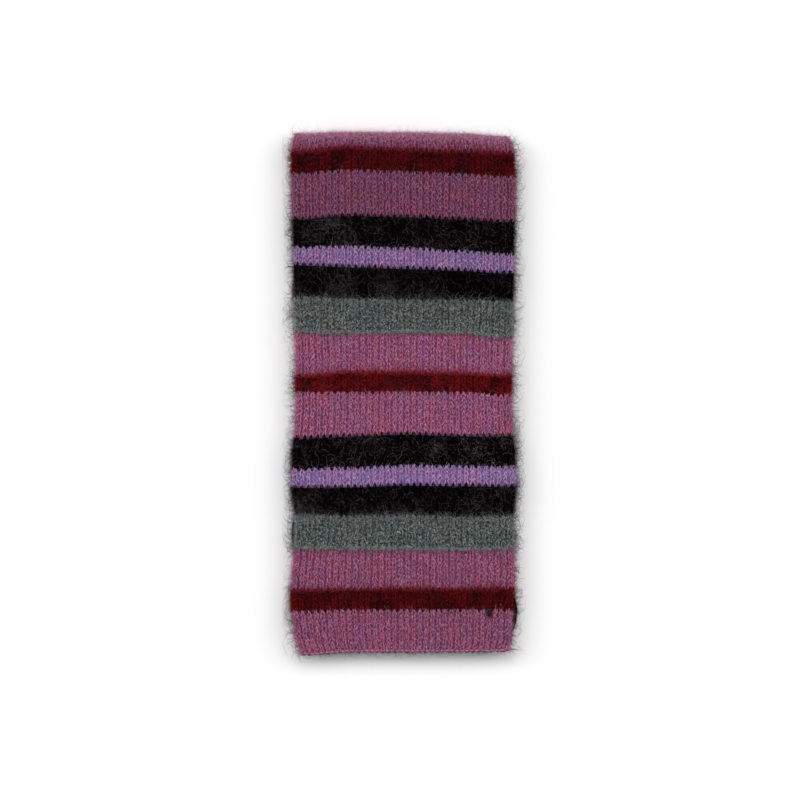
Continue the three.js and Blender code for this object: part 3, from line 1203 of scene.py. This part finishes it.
# Fibres that blur each stripe's far border, most at the wine and the grey ones
WINE_HAZE = Growth(
    2300, 2.8, 4.2, 3, 0.12, 0.75, 0.3, bend=0.08, brushed=1.0, stand=0.3, border=0.9, yarns=(Yarn.WINE,)
)
BORDER_HAZE = Growth(
    1500, 2.2, 2.8, 3, 0.09, 0.5, 0.4, bend=0.2, brushed=1.0, stand=0.2, border=0.9, yarns=BLURRED
)
GREY_HAZE = Growth(
    1400, 3.0, 4.2, 3, 0.07, 0.35, 0.3, bend=0.2, brushed=1.0, stand=0.2, border=1.2, yarns=(Yarn.GREY,)
)
# Grey fibres that lie over the near border of the grey stripes
GREY_FRINGE = Growth(
    2600, 1.8, 1.8, 2, 0.14, 0.35, 0.3, bend=0.0, brushed=1.0, spread=0.5, stand=0.5, border=0.8,
    fringe=True, yarns=(Yarn.GREY,),
)
# Long curled wisps on the dark stripes
WISPS = Growth(2600, 2.6, 4.6, 4, 0.065, 0.75, 0.3, bend=0.18, brushed=0.5, tufted=0.4, yarns=DARK)
FACE_KINDS = (FLECKS, WINE_FLECKS, DARK_DOWN, NAP, RAISED, WINE_HAZE, BORDER_HAZE, GREY_HAZE, WISPS)
# Down and a longer nap along the long edges, past the far fold, and at the near end
EDGE_DOWN = Growth(12000, 1.0, 1.7, 2, 0.12, 0.75, bend=0.0, spread=0.8)
EDGE_NAP = Growth(3200, 1.4, 2.2, 3, 0.1, 0.6)
FAR_DOWN = Growth(4800, 0.7, 1.1, 2, 0.12, 0.85, bend=0.0, spread=0.8)
FAR_NAP = Growth(1600, 1.6, 3.6, 3, 0.075, 0.6)
NEAR_DOWN = Growth(3200, 0.6, 0.8, 2, 0.12, 0.9, bend=0.0, spread=0.8)
# The near nap takes the darkest tone, painted shade that deepens the shadow on the ground just past the
# near end
NEAR_NAP = Growth(1700, 2.2, 2.8, 3, 0.1, 0.0, 0.2)
# A haze of hairs round the long edges, and the few that stray furthest, both in dark tones that paint
# the shade of fine fibres seen against the ground
FUZZ = Growth(2900, 2.4, 4.8, 3, 0.085, 0.1, 0.2, bend=0.12, spread=0.75, tufted=0.4)
STRAYS = Growth(1700, 3.6, 7.2, 4, 0.15, 0.0, 0.1, bend=0.11, spread=0.65, tufted=0.7)
# The tuft of black fibres that is caught in the near mauve stripe
CAUGHT = Growth(260, 0.6, 1.2, 3, 0.11, 0.1, 0.2, bend=0.6)


@dataclass
class Halo:
    """Loose mohair fibres: flecks and a nap all over, down along the edges, stray hairs."""

    strip: FoldedStrip
    tufts: int = 70
    tuft_size: float = 5.0
    sweep: float = 0.45
    caught_at: tuple[float, float] = (0.79, 8.4)
    caught_size: tuple[float, float] = (0.015, 0.6)
    caught_from: float = 32.0  # a course of the black yarn
    rooted: float = 0.4
    end_limit: float = 0.98
    end_share: float = 0.65
    end_course: float = 0.15
    fold_play: float = 0.4  # courses off the near fold's outermost line
    far_play: tuple[float, float] = (0.3, 0.8)  # courses, and as a share of the way back
    edge_levels: tuple[float, float] = (-0.8, 0.95)  # of the cloth's half thickness
    edge_out: float = -0.5
    overhang: float = 6.0
    widest: float = 94.5
    longest: float = 211.0
    highest: float = 18.8
    lowest: float = 0.25
    draws: int = 6  # places drawn for each fibre on the face
    border_draws: int = 60  # and for each one that keeps to a border
    face_end: float = 1.5  # courses back from the fold's end
    leg: float = 0.45  # radians that a stitch's leg leans by
    curl: float = 2.2  # the most that a fibre on the face turns, in radians
    sprung: float = 1.8  # the most that one over the ground turns
    rise: tuple[float, float] = (0.05, 0.8)
    arch: tuple[float, float] = (0.2, 2.2)  # where a fibre's arch starts and how far it goes
    tilt: tuple[float, float] = (0.03, 0.2)  # rise over run, its middle and its spread
    steep: float = 0.8
    tip: float = 0.45  # of the root's radius
    thick_play: float = 0.35
    seed: int = 5
    yarns: list[Yarn] = field(init=False)
    ahead: Array = field(init=False)
    behind: Array = field(init=False)
    dice: Dice = field(init=False)

    def __post_init__(self) -> None:
        """Lists each course's yarn, and how many courses its stripe has ahead and behind."""
        stripes = bands(0, int(self.strip.courses))
        self.yarns = [yarn for yarn, courses in stripes for _ in courses]
        self.ahead = np.array([courses[-1] + 1 - c for _, courses in stripes for c in courses])
        self.behind = np.array([c - courses[0] for _, courses in stripes for c in courses])
        self.dice = np.random.default_rng(self.seed)

    def strands(self, paths: Array, thick: Array) -> tuple[Array, list]:
        """Makes pointed three-sided strands.

        Args:
            paths: Strands by points by 3, in millimetres.
            thick: Each strand's radius at its root.

        Returns:
            The points and the faces.
        """
        count, length, _ = paths.shape
        tangent = unit(np.gradient(paths, axis=1))
        up = np.where(np.abs(tangent[..., 2:]) > self.steep, [1.0, 0.0, 0.0], [0.0, 0.0, 1.0])
        across = unit(np.cross(tangent, up))
        other = np.cross(across, tangent)
        angle = 2 * math.pi * np.arange(3) / 3
        ring = np.cos(angle)[:, None] * across[:, :, None] + np.sin(angle)[:, None] * other[:, :, None]
        taper = np.linspace(1, self.tip, length - 1)
        rings = paths[:, :-1, None] + ring[:, :-1] * (thick[:, None] * taper)[:, :, None, None]
        per = 3 * (length - 1) + 1
        points = np.concatenate([rings.reshape(count, -1, 3), paths[:, -1:]], axis=1)
        base = (np.arange(count) * per)[:, None]
        faces: list = (base + np.array([[2, 1, 0]])).tolist()
        corners = ((0, 1), (1, 2), (2, 0))
        for k in range(0, per - 4, 3):
            for i, j in corners:
                faces += (base + np.array([k + i, k + j, k + 3 + j, k + 3 + i])).tolist()
        for i, j in corners:
            faces += (base + np.array([per - 4 + i, per - 4 + j, per - 1])).tolist()
        return points.reshape(-1, 3), faces

    def tufted(self, places: Array, share: float, size: float) -> Array:
        """Draws some places together, so that fibres stand in tufts.

        Args:
            places: Places, as rows of coordinates.
            share: The share of them that is drawn together.
            size: How wide a tuft is, in the same unit.

        Returns:
            The new places.
        """
        if share == 0:
            return places
        centres = places[: self.tufts]
        chosen = centres[self.dice.integers(0, len(centres), len(places))]
        near = chosen + self.dice.normal(0, size, places.shape)
        return np.where(self.dice.random((len(places), 1)) < share, near, places)

    def face_paths(self, kind: Growth) -> tuple[Array, Array]:
        """Fibres that lie over the top stretch and the far fold.

        Args:
            kind: The kind of fibre.

        Returns:
            The paths and the course of each root.
        """
        n = kind.count
        last = self.strip.starts[2] - self.face_end
        draws = n * (self.draws if kind.border == math.inf else self.border_draws)
        drawn = self.dice.uniform([-HALF_BREADTH, 0.0], [HALF_BREADTH, last * COURSE], (draws, 2))
        drawn = self.tufted(drawn, kind.tufted, self.tuft_size)
        drawn = drawn[(np.abs(drawn[:, 0]) < HALF_BREADTH) & (drawn[:, 1] > 0)]
        drawn = drawn[drawn[:, 1] < last * COURSE]
        at = drawn[:, 1] / COURSE
        course = at.astype(int)
        fits = np.array([yarn in kind.yarns for yarn in self.yarns])[course]
        off = self.behind[course] + at % 1 if kind.fringe else self.ahead[course] - at % 1
        roots = drawn[fits & (off < kind.border)][:n]
        n = len(roots)
        lengths = kind.lengths(self.dice)[:n]
        leg = self.leg * np.where(self.dice.random(n) < 0.5, -1, 1)
        along_rib = (-0.5 if kind.fringe else 0.5) * math.pi
        ahead = along_rib + leg + self.dice.normal(0, kind.spread, n)
        any_way = self.dice.uniform(0, 2 * math.pi, n)
        heading = np.where(self.dice.random(n) < kind.brushed, ahead, any_way)
        bend = np.clip(self.dice.normal(0, kind.bend, n) * lengths, -self.curl, self.curl)
        rise = self.dice.uniform(*self.rise, n)
        t = np.linspace(0, 1, kind.points)[None]
        turn = heading[:, None] + bend[:, None] * t
        x = roots[:, :1] + lengths[:, None] * t * np.cos(turn)
        along = roots[:, 1:] + lengths[:, None] * t * np.sin(turn)
        arched = np.sin(self.arch[0] + self.arch[1] * t)
        h = self.strip.cloth / 2 + kind.stand + rise[:, None] * arched
        out = np.clip(np.abs(x) - HALF_BREADTH, 0, self.overhang)
        v = np.clip(x / HALF_BREADTH, -1, 1)
        c = np.maximum(along / COURSE, 0)
        return self.strip.place(v, c, h, out), roots[:, 1] / COURSE

    def grow(self, roots: Array, facing: Array, kind: Growth) -> Array:
        """Grows fibres that stand out over the ground.

        Args:
            roots: Where they start.
            facing: The directions that they face, as angles seen from above.
            kind: The kind of fibre.

        Returns:
            The paths.
        """
        n = len(roots)
        lengths = kind.lengths(self.dice)
        slant = facing + self.dice.normal(0, kind.spread, n)
        bend = np.clip(self.dice.normal(0, kind.bend, n) * lengths, -self.sprung, self.sprung)
        lift = self.dice.normal(*self.tilt, n)
        t = np.linspace(0, 1, kind.points)[None]
        turn = slant[:, None] + bend[:, None] * t
        run = lengths[:, None] * t
        step = np.stack([run * np.cos(turn), run * np.sin(turn), run * lift[:, None]], axis=-1)
        path = roots[:, None] + step * self.share_that_fits(roots, step)[:, None, None]
        path[..., 2] = np.clip(path[..., 2], self.lowest, self.highest)
        return path

    def share_that_fits(self, roots: Array, step: Array) -> Array:
        """How far each fibre may grow before it's too far out to the side or past an end.

        Args:
            roots: Where the fibres start.
            step: Each point's way from its root.

        Returns:
            A share of its length for each fibre.
        """
        share = np.ones(len(roots))
        for axis, limit in ((0, self.widest), (1, self.longest)):
            start = np.abs(roots[:, axis])
            over = np.abs(roots[:, None, axis] + step[..., axis]).max(axis=1) - start
            share = np.minimum(share, np.clip((limit - start) / np.maximum(over, 1e-6), 0, 1))
        return share

    def edge_paths(self, kind: Growth, upper: float, sweep: float = 0.0) -> tuple[Array, Array]:
        """Fibres that stand out from the long edges of every layer.

        Args:
            kind: The kind of fibre.
            upper: The share on the top stretch and the far fold alone.
            sweep: How far they lean towards the near end, in radians.

        Returns:
            The paths and the course of each root.
        """
        n = kind.count
        reach = np.where(self.dice.random((n, 1)) < upper, self.strip.starts[2], self.strip.courses)
        drawn = self.dice.random((n, 1)) * reach
        c = self.tufted(drawn, kind.tufted, self.tuft_size / COURSE)[:, 0]
        c = np.clip(c, 0, self.strip.courses - 0.01)
        side = np.where(self.dice.random(n) < 0.5, -1.0, 1.0)
        level = self.dice.uniform(*self.edge_levels, n) * self.strip.cloth / 2
        roots = self.strip.place(side, c, level, self.edge_out)
        facing = np.where(side > 0, -sweep, math.pi + sweep)
        return self.grow(roots, facing, kind), c

    def far_paths(self, kind: Growth, back: float) -> tuple[Array, Array]:
        """Fibres that stand out past the far fold.

        Args:
            kind: The kind of fibre.
            back: How many courses they start back from the fold's outermost line.

        Returns:
            The paths and the course of each root.
        """
        n = kind.count
        fold = 0.5 * (self.strip.starts[1] + self.strip.starts[2])
        c = self.dice.normal(fold - back, self.far_play[0] + self.far_play[1] * back, n)
        v = self.dice.uniform(-self.end_limit, self.end_limit, n)
        roots = self.strip.place(v, c, self.strip.cloth / 2 - self.rooted)
        return self.grow(roots, np.full(n, 0.5 * math.pi), kind), c

    def near_paths(self, kind: Growth, level: float) -> tuple[Array, Array]:
        """Fibres that stand out past the near cut end and the near fold.

        Args:
            kind: The kind of fibre.
            level: How high in the cloth they start, from -1 to 1.

        Returns:
            The paths and the course of each root.
        """
        n = kind.count
        fold = 0.5 * (self.strip.starts[3] + self.strip.starts[4])
        on_end = self.dice.random(n) < self.end_share
        c = np.where(on_end, self.end_course, self.dice.normal(fold, self.fold_play, n))
        v = self.dice.uniform(-self.end_limit, self.end_limit, n)
        roots = self.strip.place(v, c, level * (self.strip.cloth / 2 - self.rooted))
        return self.grow(roots, np.full(n, -0.5 * math.pi), kind), c

    def caught_paths(self) -> tuple[Array, Array]:
        """A small tuft of black fibres that is caught in the near mauve stripe.

        Returns:
            The paths and the course that gave each fibre its yarn.
        """
        n = CAUGHT.count
        v = self.dice.normal(self.caught_at[0], self.caught_size[0], n)
        c = self.dice.normal(self.caught_at[1], self.caught_size[1], n)
        roots = self.strip.place(v, c, self.strip.cloth / 2)
        paths = self.grow(roots, self.dice.uniform(0, 2 * math.pi, n), CAUGHT)
        return paths, np.full(n, self.caught_from)

    def build(self) -> list[Piece]:
        """Makes the fibres: for each yarn a nap on the face and a fringe along the edges.

        Returns:
            The pieces.
        """
        face = [(kind, *self.face_paths(kind)) for kind in FACE_KINDS]
        face += [(CAUGHT, *self.caught_paths())]
        rim = [(kind, *self.edge_paths(kind, 0.5)) for kind in (EDGE_DOWN, EDGE_NAP)]
        rim += [(kind, *self.edge_paths(kind, 0.7, self.sweep)) for kind in (FUZZ, STRAYS)]
        rim += [(FAR_DOWN, *self.far_paths(FAR_DOWN, 1.0))]
        rim += [(FAR_NAP, *self.far_paths(FAR_NAP, 0.3))]
        rim += [(NEAR_DOWN, *self.near_paths(NEAR_DOWN, 1.0))]
        rim += [(NEAR_NAP, *self.near_paths(NEAR_NAP, -0.8))]
        face += [(GREY_FRINGE, *self.face_paths(GREY_FRINGE))]
        pieces = []
        for name, groups in (("face_nap", face), ("rim_nap", rim)):
            for yarn in Yarn:
                title = f"{name}_{yarn.value}"
                finish = FINISHES[yarn]
                mesh = self.mesh(title, yarn, groups)
                pieces.append(add_piece(mesh, title, finish.slot, finish.halo_material()))
        return pieces

    def mesh(self, title: str, yarn: Yarn, groups: list) -> Mesh:
        """Gathers one yarn's fibres into a mesh.

        Args:
            title: The mesh's name.
            yarn: The yarn.
            groups: Kinds of fibre, each with its paths and the courses of their roots.

        Returns:
            The mesh.
        """
        points: list[Array] = []
        tones: list[Array] = []
        dyes: list[Array] = []
        faces: list = []
        count = 0
        for kind, paths, roots in groups:
            mine = np.array([yarn_of(int(c)) is yarn for c in roots])
            if not mine.any():
                continue
            shake = np.random.default_rng([self.seed, count]).uniform(-1, 1, (2, mine.sum()))
            got, shape = self.strands(paths[mine], kind.thick * (1 + self.thick_play * shake[0]))
            points.append(got)
            each = len(got) // mine.sum()
            tones.append(np.repeat(kind.tone + kind.tone_spread * shake[1], each))
            dyes.append(np.repeat(dye_of([int(c) for c in roots[mine]]), each))
            faces += [[i + count for i in face] for face in shape]
            count += len(got)
        spots = np.concatenate(points)
        spots[:, 2] = np.maximum(spots[:, 2], 0)
        mesh = bpy.data.meshes.new(title)
        mesh.from_pydata((spots * MM).tolist(), [], faces)
        for name, values in ((LIFT, tones), (DYE, dyes)):
            layer = mesh.attributes.new(name, "FLOAT", "POINT")
            layer.data.foreach_set("value", np.concatenate(values))
        mesh.polygons.foreach_set("use_smooth", np.ones(len(mesh.polygons), bool))
        return mesh


@dataclass
class Scarf:
    """The whole folded scarf."""

    strip: FoldedStrip = field(default_factory=FoldedStrip)

    def build(self) -> None:
        cloth = Cloth(self.strip).build()
        knit = RibKnit(self.strip)
        fold_end = int(self.strip.starts[2])
        near_start = int(self.strip.starts[3]) - 1
        near_end = int(self.strip.starts[4]) + 1
        pieces = knit.build(0, fold_end, "top_knit", 4, 10, joined=False)
        pieces += knit.build(fold_end + 1, near_start - 1, "under_knit", 3, 6)
        pieces += knit.build(near_start, near_end, "near_fold_knit", 4, 10)
        pieces += Selvedges(self.strip).build()
        pieces += Halo(self.strip).build()
        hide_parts("top_stretch", "under_stretch", "near_fold", "hidden_layers")


@dataclass(frozen=True)
class Softbox:
    """A distant soft light, by its compass direction, its tilt from overhead, its width
    and its share of the light on the ground."""

    name: str
    heading: float
    tilt: float
    width: float
    share: float


SOFTBOXES = [
    Softbox("softbox_overhead", 0.0, 35.0, 36.0, 0.28),
    Softbox("softbox_left", -66.0, 52.0, 44.0, 0.23),
    Softbox("softbox_right", 66.0, 52.0, 44.0, 0.19),
    Softbox("softbox_near", 180.0, 38.0, 60.0, 0.04),
]


@dataclass
class Studio:
    """A pale ground, soft light from above and a camera that looks straight down."""

    pixel: float = 0.776
    picture: int = 800
    lens: float = 200.0
    sensor: float = 36.0
    level: float = 15.3
    aim: tuple[float, float] = (-3.26, -6.6)
    ground_size: float = 4.0
    air: float = 0.26
    level_of_light: float = 1.108

    def build(self) -> None:
        """Makes the ground, the lights, the world and the camera."""
        self.build_ground()
        self.build_lights()
        self.build_camera()

    def build_ground(self) -> None:
        """Makes the ground, a wide sheet of pale card."""
        bpy.ops.object.select_all(action="DESELECT")
        bpy.ops.mesh.primitive_plane_add(size=self.ground_size, location=(0, 0, 0))
        ground = bpy.context.active_object
        ground.name = "ground"
        # Uncoated card, matt all over
        card = bpy.data.materials.new("pale_card")
        card.use_nodes = True
        shader = card.node_tree.nodes["Principled BSDF"]
        shader.inputs["Base Color"].default_value = linear(0xF7F7F7)
        shader.inputs["Roughness"].default_value = 0.95
        shader.inputs["Specular IOR Level"].default_value = 0.1
        ground.data.materials.append(card)

    def build_lights(self) -> None:
        """Makes the soft lights, spread left to right beyond the far end, and a pale world."""
        scene = bpy.context.scene
        world = bpy.data.worlds.new("studio_air")
        world.use_nodes = True
        background = world.node_tree.nodes["Background"]
        background.inputs["Color"].default_value = linear(0xFFFFFF)
        background.inputs["Strength"].default_value = self.air * self.level_of_light
        scene.world = world
        for box in SOFTBOXES:
            tilt = math.radians(box.tilt)
            data = bpy.data.lights.new(box.name, "SUN")
            data.angle = math.radians(box.width)
            data.energy = box.share * self.level_of_light * math.pi / math.cos(tilt)
            light = bpy.data.objects.new(box.name, data)
            light.location = (0.0, 0.5, 1.5)
            light.rotation_euler = (-tilt, 0.0, -math.radians(box.heading))
            scene.collection.objects.link(light)
        scene.view_settings.view_transform = "Standard"
        scene.view_settings.look = "None"

    def build_camera(self) -> None:
        """Makes the camera, over the point that the middle of the picture shows."""
        scene = bpy.context.scene
        data = bpy.data.cameras.new("overhead")
        data.lens = self.lens
        data.sensor_width = self.sensor
        data.clip_end = 20.0
        camera = bpy.data.objects.new("overhead", data)
        distance = self.pixel * self.picture * self.lens / self.sensor
        camera.location = (self.aim[0] * MM, self.aim[1] * MM, (distance + self.level) * MM)
        scene.collection.objects.link(camera)
        scene.camera = camera


def main() -> None:
    """Builds the studio and the scarf."""
    logging.basicConfig(level=logging.INFO, format="%(name)s: %(message)s")
    Studio().build()
    Scarf().build()
    bpy.context.view_layer.update()


if __name__ == "__main__":
    main()
